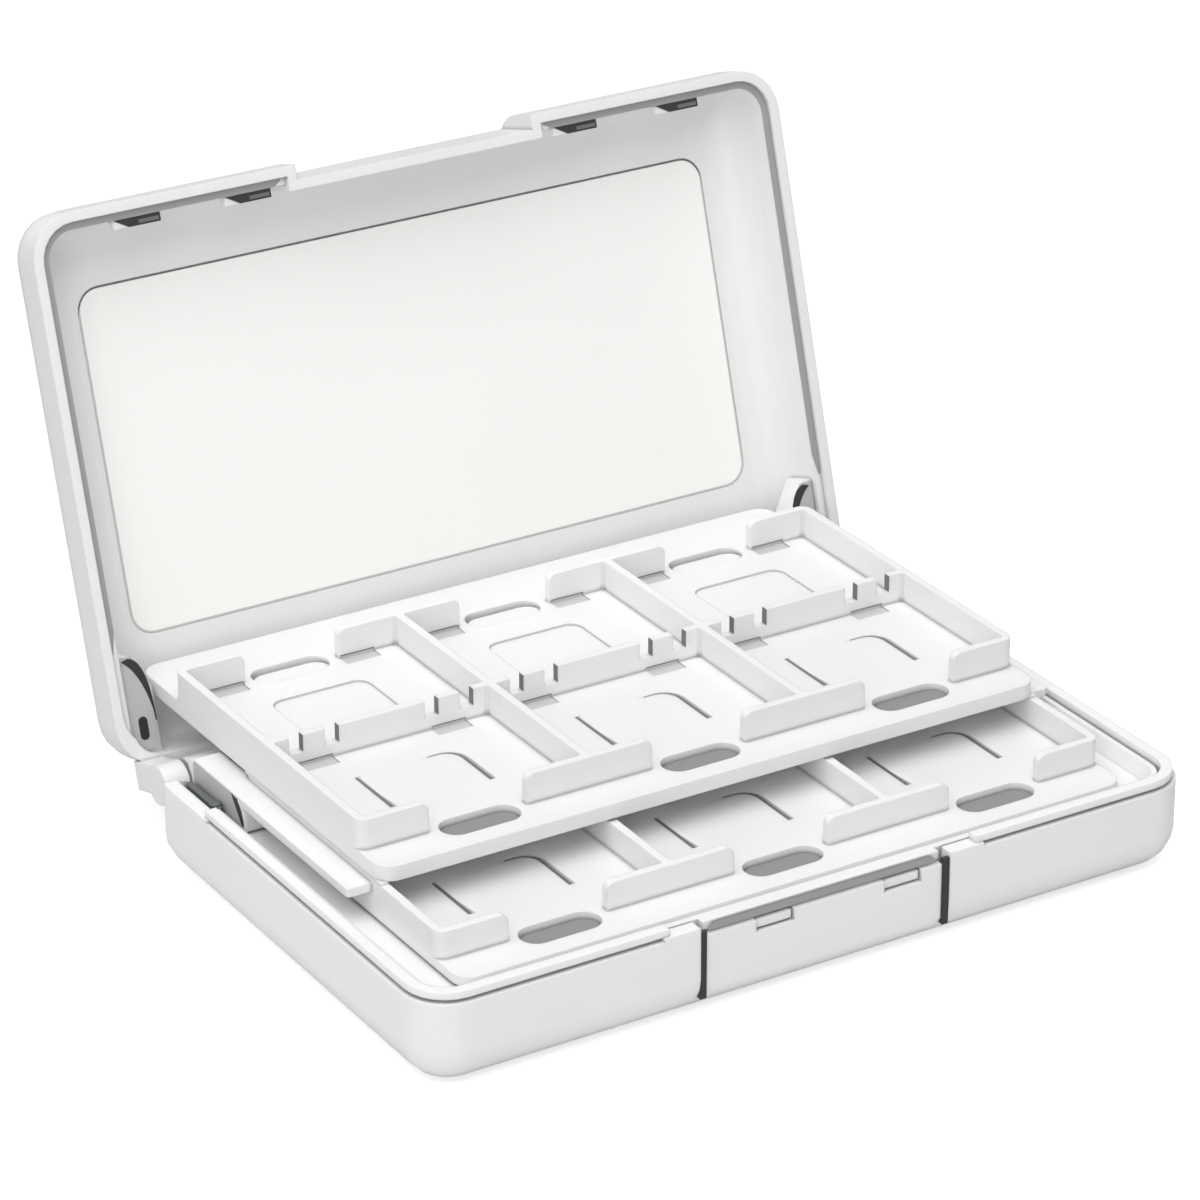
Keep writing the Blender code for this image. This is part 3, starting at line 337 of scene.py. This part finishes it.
rebateShadeGrey = dict(holeShadeGrey, colour=(0.34, 0.342, 0.34), crease=0.0)
catchShadeGrey = dict(holeShadeGrey, colour=(0.14, 0.14, 0.14), crease=0.0)
greyShade = dict(holeShadeGrey, colour=(0.5, 0.505, 0.5), crease=0.2)
blackShadow = dict(holeShadeGrey, colour=(0.02, 0.02, 0.022), crease=0.0)


def finishMaterial(name, settings, surface):
    material = bpy.data.materials.new(name)
    material.use_nodes = True
    nodes, links = material.node_tree.nodes, material.node_tree.links
    shader = nodes["Principled BSDF"]
    finish = nodes.new("ShaderNodeGroup")
    finish.node_tree = surface
    finish.inputs["Colour"].default_value = (*settings["colour"], 1.0)
    for socket in finishSockets:
        finish.inputs[socket].default_value = settings[socket.lower()]
    shader.inputs["Metallic"].default_value = settings.get("metal", 0.0)
    shader.inputs["Subsurface Weight"].default_value = settings["glow"]
    shader.inputs["Subsurface Radius"].default_value = (1.0, 1.0, 1.0)
    shader.inputs["Subsurface Scale"].default_value = mouldedLook["glowReach"]
    links.new(finish.outputs["Colour"], shader.inputs["Base Color"])
    links.new(finish.outputs["Roughness"], shader.inputs["Roughness"])
    links.new(finish.outputs["Normal"], shader.inputs["Normal"])
    return material


skinFinish = {
    "merge": 0.002 * mm,
    "smoothBelow": 31.0,  # degrees between two faces that read as one curved face
}


def dress(nodeName, body, material):  # a merged copy with even normals shows the node
    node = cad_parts[nodeName]
    shape = bmesh.new()
    shape.from_mesh(node.data)
    bmesh.ops.remove_doubles(shape, verts=shape.verts, dist=skinFinish["merge"])
    bmesh.ops.recalc_face_normals(shape, faces=shape.faces)
    limit = math.radians(skinFinish["smoothBelow"])
    for face in shape.faces:
        face.smooth = True
    for edge in shape.edges:
        edge.smooth = edge.is_manifold and edge.calc_face_angle() < limit
    mesh = bpy.data.meshes.new(nodeName + "Skin")
    shape.to_mesh(mesh)
    shape.free()
    mesh.materials.append(material)
    skin = bpy.data.objects.new(nodeName + "Skin", mesh)
    bpy.context.scene.collection.objects.link(skin)
    evened = skin.modifiers.new("evened", "WEIGHTED_NORMAL")
    evened.mode = "FACE_AREA"
    evened.keep_sharp = True
    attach(skin, body)
    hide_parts(nodeName)


plateFinish = {
    "merge": 1e-7,  # metres
    "bevelSegments": 2,
    "leastFlat": 1e-5,  # metres that a round end keeps flat, so that no two points meet
}


def boxOutline(x0, x1, y0, y1):
    return ((x0, y0), (x1, y0), (x1, y1), (x0, y1))


def roundedOutline(x0, x1, y0, y1, radius, steps):
    left, right, near, far = x0 + radius, x1 - radius, y0 + radius, y1 - radius
    centres = ((right, far), (left, far), (left, near), (right, near))
    points = []
    for corner, (centreX, centreY) in enumerate(centres):
        for step in range(steps + 1):
            angle = math.radians(quarterTurn * corner + quarterTurn * step / steps)
            points.append((centreX + radius * math.cos(angle), centreY + radius * math.sin(angle)))
    return points


def mirrored(points, side):
    return [(side * x, y) for x, y in points]


def bentLine(start, bend, end, share):  # a point, or one of its coordinates, along a bent line
    return (1 - share) ** 2 * start + 2 * share * (1 - share) * bend + share ** 2 * end


def addPlate(shape, points, low, high, bevel=0.0):
    corners = [shape.verts.new((x, y, low)) for x, y in points]
    base = shape.faces.new(corners)
    grown = bmesh.ops.extrude_face_region(shape, geom=[base])
    raised = [part for part in grown["geom"] if isinstance(part, bmesh.types.BMVert)]
    bmesh.ops.translate(shape, vec=(0.0, 0.0, high - low), verts=raised)
    if bevel > 0.0:
        edges = {edge for vert in corners + raised for edge in vert.link_edges}
        bmesh.ops.bevel(
            shape, geom=list(edges), offset=bevel, offset_type="OFFSET", affect="EDGES",
            segments=plateFinish["bevelSegments"], profile=0.5, material=-1
        )


def finishPiece(shape, name, material, body, place=None):
    bmesh.ops.remove_doubles(shape, verts=shape.verts, dist=plateFinish["merge"])
    bmesh.ops.recalc_face_normals(shape, faces=shape.faces)
    if place is not None:
        bmesh.ops.transform(shape, matrix=place, verts=shape.verts)
    mesh = bpy.data.meshes.new(name)
    shape.to_mesh(mesh)
    shape.free()
    mesh.materials.append(material)
    piece = bpy.data.objects.new(name, mesh)
    bpy.context.scene.collection.objects.link(piece)
    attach(piece, body)


trayCells = {
    "halfWidth": 50.4 * mm,
    "wall": 1.2 * mm,
    "cell": (32.0 * mm, 23.75 * mm),
    "columns": 3,
    "frontPlate": 5.65 * mm,
}
trays = {
    "upperTray": {
        "body": "upper_tray", "front": -12.825 * mm, "floor": 18.7 * mm, "top": 22.95 * mm,
    },
    "lowerTray": {
        "body": "base", "front": -32.525 * mm, "floor": 12.4 * mm, "top": 16.3 * mm,
    },
}


def cellPlaces(tray):  # the columns' left sides, and the front faces of the three long walls
    wall, (width, depth) = trayCells["wall"], trayCells["cell"]
    columns = range(trayCells["columns"])
    lefts = [wall - trayCells["halfWidth"] + column * (width + wall) for column in columns]
    front = tray["front"] + trayCells["frontPlate"]
    walls = {"front": front, "middle": front + wall + depth, "back": front + 2 * (wall + depth)}
    return lefts, walls


holeShade = {  # painted shade: dark plates for the shaded bottoms of the finger holes in front of the cells
    "length": 11.3 * mm,
    "width": 4.5 * mm,
    "setback": 0.4 * mm,
    "drop": 0.95 * mm,
    "thickness": 0.3 * mm,
    "bevel": 0.05 * mm,
    "steps": 8,
}


def buildHoleShades(name, tray, material):
    shape = bmesh.new()
    lefts, walls = cellPlaces(tray)
    halfLength, halfWidth = holeShade["length"] / 2, holeShade["width"] / 2
    high = tray["floor"] - holeShade["drop"]
    for left in lefts:
        x, y = left + trayCells["cell"][0] / 2, walls["front"] - holeShade["setback"]
        points = roundedOutline(
            x - halfLength, x + halfLength, y - halfWidth, y + halfWidth,
            halfWidth - plateFinish["leastFlat"], holeShade["steps"]
        )
        addPlate(shape, points, high - holeShade["thickness"], high, holeShade["bevel"])
    finishPiece(shape, name + "HoleShades", material, tray["body"])


tabSlotShade = {  # painted shade: grey plates for the shaded slots under the small tabs that hold a card down
    "width": 5.1 * mm,
    "length": 1.9 * mm,
    "setback": 3.45 * mm,
    "underWall": 0.5 * mm,
    "drop": 0.1 * mm,
    "thickness": 0.55 * mm,
    "bevel": 0.04 * mm,
    "footInset": 0.06 * mm,
    "footRise": 0.24 * mm,
}


def buildTabSlotShades(name, tray, material):
    shape = bmesh.new()
    lefts, walls = cellPlaces(tray)
    high = tray["floor"] - tabSlotShade["drop"]
    footLow, footHigh = high - tabSlotShade["thickness"] / 2, tray["floor"] + tabSlotShade["footRise"]
    for left in lefts:
        right = left + trayCells["cell"][0]
        for wall in (walls["middle"], walls["back"]):
            y0, y1 = wall - tabSlotShade["length"], wall + tabSlotShade["underWall"]
            for x0 in (left + tabSlotShade["setback"], right - tabSlotShade["setback"] - tabSlotShade["width"]):
                x1 = x0 + tabSlotShade["width"]
                mark = boxOutline(x0, x1, y0, y1)
                addPlate(shape, mark, high - tabSlotShade["thickness"], high, tabSlotShade["bevel"])
                foot = boxOutline(x0, x1, wall + tabSlotShade["footInset"], y1)
                addPlate(shape, foot, footLow, footHigh)
    finishPiece(shape, name + "TabSlotShades", material, tray["body"])


grooveShade = {  # painted shade: the straight and the hooked shaded line in each front cell's floor
    "start": 7.45 * mm,
    "length": 9.3 * mm,
    "places": ((-7.95 * mm, 0.0), (6.75 * mm, 2.2 * mm)),  # off the cell's middle, and the turn
    "hookReach": 1.7,  # the hook's end, in turns
    "core": {"widths": (0.52 * mm, 0.36 * mm), "drop": 0.06 * mm, "thickness": 0.1 * mm},
    "edge": {"widths": (0.9 * mm, 0.62 * mm), "drop": 0.08 * mm, "thickness": 0.1 * mm},
    "steps": 5,
}


def strokePath(x, front, turn):  # each point's place, and the way across the stroke there
    back = front + grooveShade["length"]
    path = [(x, front, 1.0, 0.0), (x, back - turn, 1.0, 0.0)]
    if turn > 0.0:
        for step in range(1, grooveShade["steps"] + 1):
            angle = math.radians(quarterTurn * step / grooveShade["steps"])
            path.append((
                x - turn * (1.0 - math.cos(angle)), back - turn * (1.0 - math.sin(angle)),
                math.cos(angle), math.sin(angle)
            ))
        path.append((x - grooveShade["hookReach"] * turn, back, 0.0, 1.0))
    return path


def buildGrooveShades(name, tray, stroke, material):
    shape = bmesh.new()
    lefts, walls = cellPlaces(tray)
    front = walls["front"] + trayCells["wall"] + grooveShade["start"]
    high = tray["floor"] - stroke["drop"]
    startWidth, endWidth = stroke["widths"]
    for left in lefts:
        for offset, turn in grooveShade["places"]:
            path = strokePath(left + trayCells["cell"][0] / 2 + offset, front, turn)
            near, far = [], []
            for index, (x, y, acrossX, acrossY) in enumerate(path):
                width = startWidth + (endWidth - startWidth) * index / (len(path) - 1)
                near.append((x, y))
                far.append((x + width * acrossX, y + width * acrossY))
            addPlate(shape, near + far[::-1], high - stroke["thickness"], high)
    finishPiece(shape, name, material, tray["body"])


notchSide = {  # painted shade: dark plates on the right sides of the notches in the middle wall
    "setback": 2.2 * mm,
    "pair": 7.4 * mm,
    "width": 2.1 * mm,
    "depth": 2.4 * mm,
    "inset": 0.06 * mm,
    "thickness": 0.1 * mm,
    "bevel": 0.02 * mm,
}


def buildNotchSides(name, tray, material):
    shape = bmesh.new()
    lefts, walls = cellPlaces(tray)
    inset, width, pairWidth = notchSide["inset"], notchSide["width"], notchSide["pair"]
    y0, y1 = walls["middle"] + inset, walls["middle"] + trayCells["wall"] - inset
    low, high = tray["top"] - notchSide["depth"] + inset, tray["top"] - inset
    for left in lefts:
        right = left + trayCells["cell"][0]
        for pair in (left + notchSide["setback"], right - notchSide["setback"] - pairWidth):
            for start in (pair, pair + pairWidth - width):
                x1 = start + width + notchSide["thickness"] / 2
                x0 = x1 - notchSide["thickness"]
                addPlate(shape, boxOutline(x0, x1, y0, y1), low, high, notchSide["bevel"])
    finishPiece(shape, name + "NotchSides", material, tray["body"])


runnerStrips = {  # close the slit between the lower tray's side walls and the upper tray
    "outer": 50.38 * mm,
    "width": 1.1 * mm,
    "front": -12.4 * mm,
    "back": 23.9 * mm,
    "low": 16.28 * mm,
    "high": 16.57 * mm,
}


def buildRunnerStrips(material):
    shape = bmesh.new()
    for side in (-1.0, 1.0):
        outer = side * runnerStrips["outer"]
        inner = outer - side * runnerStrips["width"]
        points = boxOutline(outer, inner, runnerStrips["front"], runnerStrips["back"])
        addPlate(shape, points, runnerStrips["low"], runnerStrips["high"])
    finishPiece(shape, "runnerStrips", material, "base")


flangeEnds = {  # painted shade: grey faces with a dark crescent of painted shadow at the rear of the lower tray's flanges
    "side": 53.94 * mm,  # just outside the flange's own side
    "thickness": 0.3 * mm,
    "back": 31.7 * mm,
    "low": 11.9 * mm,
    "high": 15.45 * mm,
    "curve": ((20.9 * mm, 15.45 * mm), (18.2 * mm, 15.2 * mm), (18.0 * mm, 11.9 * mm)),
    "crescent": 1.6 * mm,
    "endShare": 0.25,  # of the crescent's width, at its two ends
    "steps": 8,
}


def buildFlangeEnds(faceMaterial, crescentMaterial):
    faces, crescents = bmesh.new(), bmesh.new()
    start, bend, end = [Vector(point) for point in flangeEnds["curve"]]
    least = flangeEnds["endShare"]
    outer, inner = [], []
    for step in range(flangeEnds["steps"] + 1):
        share = step / flangeEnds["steps"]
        point = bentLine(start, bend, end, share)
        width = flangeEnds["crescent"] * (least + (1 - least) * math.sin(math.pi * share))
        outer.append(tuple(point))
        inner.append((point.x + width, point.y))
    back = flangeEnds["back"]
    face = inner + [(back, flangeEnds["low"]), (back, flangeEnds["high"])]
    side, thickness = flangeEnds["side"], flangeEnds["thickness"]
    for sign in (-1.0, 1.0):
        near, far = sorted((sign * side, sign * (side - thickness)))
        addPlate(faces, face, near, far)
        addPlate(crescents, outer + inner[::-1], near, far)
    lengthwise = Matrix(((0, 0, 1, 0), (1, 0, 0, 0), (0, 1, 0, 0), (0, 0, 0, 1)))
    finishPiece(faces, "flangeFaces", faceMaterial, "base", lengthwise)
    finishPiece(crescents, "flangeCrescents", crescentMaterial, "base", lengthwise)


latchGrooves = {  # painted shadow: black bars in the two upright grooves in the base's front
    "x": 18.4 * mm,
    "width": 0.94 * mm,
    "front": -37.42 * mm,
    "back": -36.8 * mm,
    "low": 2.65 * mm,
    "high": 12.2 * mm,
}
lipShade = {  # the shaded lip between the grooves
    "halfWidth": 17.4 * mm,
    "endSlant": 0.9 * mm,
    "front": -36.71 * mm,
    "thickness": 0.05 * mm,
    "low": 11.74 * mm,
    "high": 12.72 * mm,
}


def buildLatchShades(grooveMaterial, lipMaterial):
    grooves, lip = bmesh.new(), bmesh.new()
    for side in (-1.0, 1.0):
        x0 = side * latchGrooves["x"] - latchGrooves["width"] / 2
        x1 = x0 + latchGrooves["width"]
        points = boxOutline(x0, x1, latchGrooves["front"], latchGrooves["back"])
        addPlate(grooves, points, latchGrooves["low"], latchGrooves["high"])
    half, slant = lipShade["halfWidth"], lipShade["endSlant"]
    low, high = lipShade["low"], lipShade["high"]
    points = ((-half, low), (half, low), (half - slant, high), (-half + slant, high))
    addPlate(lip, points, 0.0, lipShade["thickness"])
    forward = Matrix.Translation((0.0, lipShade["front"] + lipShade["thickness"], 0.0))
    upright = Matrix.Rotation(math.radians(quarterTurn), 4, "X")
    finishPiece(grooves, "latchGrooves", grooveMaterial, "base")
    finishPiece(lip, "lipShade", lipMaterial, "base", forward @ upright)


lidFrame = {
    "hinge": (0.0, 39.075 * mm, 9.1 * mm),
    "open": 106.5,  # degrees
    "edge": 5.04 * mm,  # the lid's edge over the hinge, with the lid closed
    "back": -1.5 * mm,
    "inside": 9.2 * mm,
}


def lidPlace():  # from the closed lid, measured from its hinge, to the open one
    turn = Matrix.Rotation(math.radians(-lidFrame["open"]), 4, "X")
    return Matrix.Translation(lidFrame["hinge"]) @ turn


insertSeat = {  # painted shade: a grey ring for the fine shaded line round the insert panel
    "halfWidth": 49.25 * mm,
    "front": -64.6 * mm,
    "back": -17.3 * mm,
    "radius": 3.25 * mm,
    "drop": 0.08 * mm,
    "thickness": 0.1 * mm,
    "steps": 8,
}


def buildInsertSeat(material):
    shape = bmesh.new()
    low = lidFrame["edge"] + lidFrame["inside"] + insertSeat["drop"]
    half = insertSeat["halfWidth"]
    points = roundedOutline(
        -half, half, insertSeat["front"], insertSeat["back"], insertSeat["radius"],
        insertSeat["steps"]
    )
    addPlate(shape, points, low, low + insertSeat["thickness"])
    finishPiece(shape, "insertSeatLine", material, "lid", lidPlace())


rebateLine = {  # painted shade: a dark strip along the step in the lid's edge
    "outerHalf": 56.75 * mm,
    "outerFront": -75.2 * mm,
    "radius": 4.95 * mm,
    "width": 1.0 * mm,
    "noseWidth": 0.35 * mm,
    "noseLength": 3,  # in widths
    "rear": -17.5 * mm,
    "endX": 20.6 * mm,
    "height": 0.78 * mm,
    "thickness": 0.06 * mm,
    "steps": 10,
}


def buildRebateLines(material):
    shape = bmesh.new()
    half, front, radius = rebateLine["outerHalf"], rebateLine["outerFront"], rebateLine["radius"]
    width, nose, rear = rebateLine["width"], rebateLine["noseWidth"], rebateLine["rear"]
    endX, steps = rebateLine["endX"], rebateLine["steps"]
    centreX, centreY = half - radius, front + radius
    outer = [(half, rear)]
    inner = [(half - nose, rear), (half - width, rear - rebateLine["noseLength"] * width)]
    for step in range(steps + 1):
        angle = math.radians(quarterTurn * step / steps)
        across, along = math.cos(angle), math.sin(angle)
        outer.append((centreX + radius * across, centreY - radius * along))
        inner.append((centreX + (radius - width) * across, centreY - (radius - width) * along))
    outer.append((endX, front))
    inner.extend(((endX + width, front + width), (endX, front + nose)))
    low = lidFrame["edge"] + rebateLine["height"]
    for side in (-1.0, 1.0):
        points = mirrored(outer + inner[::-1], side)
        addPlate(shape, points, low - rebateLine["thickness"], low)
    finishPiece(shape, "rebateLines", material, "lid", lidPlace())


catchShade = {  # painted shade: dark plates on the four catches inside the lid's front wall
    "wall": -74.15 * mm,
    "reach": 1.25 * mm,
    "places": (25.6 * mm, 42.2 * mm),
    "width": 6.9 * mm,
    "slant": 2.2 * mm,
    "height": 1.09 * mm,
    "thickness": 0.08 * mm,
    "blockWidth": 3.0 * mm,
    "blockInset": 0.25 * mm,
    "blockDepths": (1.5, 0.5),  # the block's bottom and top under the wedge's, in thicknesses
}


def buildCatchShades(wedgeMaterial, blockMaterial):
    wedges, blocks = bmesh.new(), bmesh.new()
    high, thickness = lidFrame["edge"] + catchShade["height"], catchShade["thickness"]
    wall, tip = catchShade["wall"], catchShade["wall"] + catchShade["reach"]
    inset = catchShade["blockInset"]
    deep, shallow = catchShade["blockDepths"]
    for side in (-1.0, 1.0):
        for place in catchShade["places"]:
            x0 = side * place - catchShade["width"] / 2
            x1 = x0 + catchShade["width"]
            wedge = ((x0, wall), (x1, wall), (x1, tip), (x0 + catchShade["slant"], tip))
            addPlate(wedges, wedge, high - thickness, high)
            left = x1 - catchShade["blockWidth"] - inset
            block = boxOutline(left, x1 - inset, wall + 2 * inset, tip - inset)
            addPlate(blocks, block, high - deep * thickness, high - shallow * thickness)
    finishPiece(wedges, "catchShades", wedgeMaterial, "lid", lidPlace())
    finishPiece(blocks, "catchBlocks", blockMaterial, "lid", lidPlace())


earFace = {  # painted shade: grey plates on the ears at the lid's hinge corners, with black crescents and slots of painted shadow
    "root": 55.6 * mm,
    "width": 4.4 * mm,
    "length": 15.1 * mm,
    "taper": 5.0 * mm,
    "shoulder": 2.0 * mm,
    "rearSetback": 1.9 * mm,
    "rise": 1.9 * mm,
    "sink": 0.01 * mm,
    "inset": 0.1 * mm,
    "thickness": 0.12 * mm,
    "bevel": 0.03 * mm,
    "shadeDrop": 0.06 * mm,
    "slot": {"width": 1.3 * mm, "length": 3.2 * mm, "setback": 3.4 * mm},
    "crescent": {
        "start": (0.15 * mm, 9.4 * mm),  # from the ear's tip and its front end
        "bend": (0.1 * mm, 0.8 * mm),
        "end": (0.5 * mm, 0.3 * mm),  # from the shoulder and the front end
        "width": 1.3 * mm,
        "leastWidth": 0.15 * mm,
        "lean": 0.3,  # how far back the inner edge leans, in widths
        "endShare": 0.12,
        "swell": 0.6,
    },
    "steps": 10,
}


def earCrescent(tip, shoulder, front):
    crescent = earFace["crescent"]
    startX, startY = crescent["start"]
    bendX, bendY = crescent["bend"]
    endX, endY = crescent["end"]
    least = crescent["endShare"]
    outer, inner = [], []
    for step in range(earFace["steps"] + 1):
        share = step / earFace["steps"]
        x = bentLine(tip + startX, tip + bendX, shoulder + endX, share)
        y = bentLine(front + startY, front + bendY, front + endY, share)
        along = min(1.0, least + (1 - least) * (1 - share))
        width = crescent["width"] * math.sin(math.pi * along ** crescent["swell"])
        outer.append((x, y))
        inner.append((x + max(width, crescent["leastWidth"]), y + crescent["lean"] * width))
    return outer + inner[::-1]


def buildEarFaces(faceMaterial, shadeMaterial):
    plates, shades = bmesh.new(), bmesh.new()
    high = lidFrame["edge"] + earFace["rise"] - earFace["sink"]
    low = high - earFace["thickness"]
    shadeLow, shadeHigh = low - earFace["shadeDrop"], high - earFace["thickness"] / 2
    back = lidFrame["back"] - earFace["rearSetback"]
    front = lidFrame["back"] - earFace["length"]
    tip, root = earFace["root"] - earFace["width"], earFace["root"]
    shoulder, inset, slot = root - earFace["shoulder"], earFace["inset"], earFace["slot"]
    corners = (
        (tip + inset, back), (tip + inset, front + earFace["taper"]), (shoulder, front + inset),
        (root, front + inset), (root, back)
    )
    crescent = earCrescent(tip, shoulder, front)
    slotHalf, slotBack = slot["width"] / 2, lidFrame["back"] - slot["setback"]
    for side in (-1.0, 1.0):
        addPlate(plates, mirrored(corners, side), low, high, earFace["bevel"])
        addPlate(shades, mirrored(crescent, side), shadeLow, shadeHigh)
        slotX = side * (root - earFace["width"] / 2)
        points = roundedOutline(
            slotX - slotHalf, slotX + slotHalf, slotBack - slot["length"], slotBack,
            slotHalf - plateFinish["leastFlat"], earFace["steps"]
        )
        addPlate(shades, points, shadeLow, shadeHigh)
    finishPiece(plates, "earPlates", faceMaterial, "lid", lidPlace())
    finishPiece(shades, "earShades", shadeMaterial, "lid", lidPlace())


bpy.context.scene.view_settings.view_transform = "Standard"
buildCamera(viewpoint)
buildWorld(studio["worldLight"])
buildLamps(studio["lamps"])
buildFloor(studio)
print("camera, lamps and floor are in place")

surface = mouldedSurface(mouldedLook)
shellWhite = finishMaterial("shellWhite", shellPlastic, surface)
lidShadedWhite = finishMaterial("lidShadedWhite", lidShadedPlastic, surface)
linerWhite = finishMaterial("linerWhite", linerPlastic, surface)
trayWhite = finishMaterial("trayWhite", trayPlastic, surface)
lowerTrayLitWhite = finishMaterial("lowerTrayLitWhite", lowerTrayLitPlastic, surface)
panelWhite = finishMaterial("panelWhite", panelPlastic, surface)
clipGrey = finishMaterial("clipGrey", clipPlastic, surface)
pinSteel = finishMaterial("pinSteel", pinMetal, surface)
dress("base_shell", "base", shellWhite)
dress("lid_shell", "lid", lidShadedWhite)
dress("inner_frame", "base", linerWhite)
dress("lower_tray", "base", lowerTrayLitWhite)
dress("upper_tray", "upper_tray", trayWhite)
dress("lid_insert_panel", "lid", panelWhite)
dress("left_detent_clip", "base", clipGrey)
dress("right_detent_clip", "base", clipGrey)
dress("left_hinge_pin", "base", pinSteel)
dress("right_hinge_pin", "base", pinSteel)
print("plastic and steel finishes are on")

holeShadePaint = finishMaterial("holeShadeGrey", holeShadeGrey, surface)
slotShadePaint = finishMaterial("slotShadeGrey", slotShadeGrey, surface)
darkShadePaint = finishMaterial("darkShadeGrey", darkShadeGrey, surface)
softShadePaint = finishMaterial("softShadeGrey", softShadeGrey, surface)
for name, tray in trays.items():
    buildHoleShades(name, tray, holeShadePaint)
    buildTabSlotShades(name, tray, slotShadePaint)
    buildGrooveShades(name + "GrooveShadeCores", tray, grooveShade["core"], darkShadePaint)
    buildGrooveShades(name + "GrooveShadeEdges", tray, grooveShade["edge"], softShadePaint)
    buildNotchSides(name, tray, darkShadePaint)
buildRunnerStrips(finishMaterial("runnerWhite", runnerPlastic, surface))
print("tray details are in place")

rebateShadePaint = finishMaterial("rebateShadeGrey", rebateShadeGrey, surface)
blackShadowPaint = finishMaterial("blackShadow", blackShadow, surface)
greyShadePaint = finishMaterial("greyShade", greyShade, surface)
buildLatchShades(blackShadowPaint, rebateShadePaint)
buildFlangeEnds(greyShadePaint, blackShadowPaint)
print("latch and flange details are in place")

buildInsertSeat(finishMaterial("seatShadeGrey", seatShadeGrey, surface))
buildEarFaces(greyShadePaint, blackShadowPaint)
buildRebateLines(rebateShadePaint)
buildCatchShades(blackShadowPaint, finishMaterial("catchShadeGrey", catchShadeGrey, surface))
print("lid details are in place")
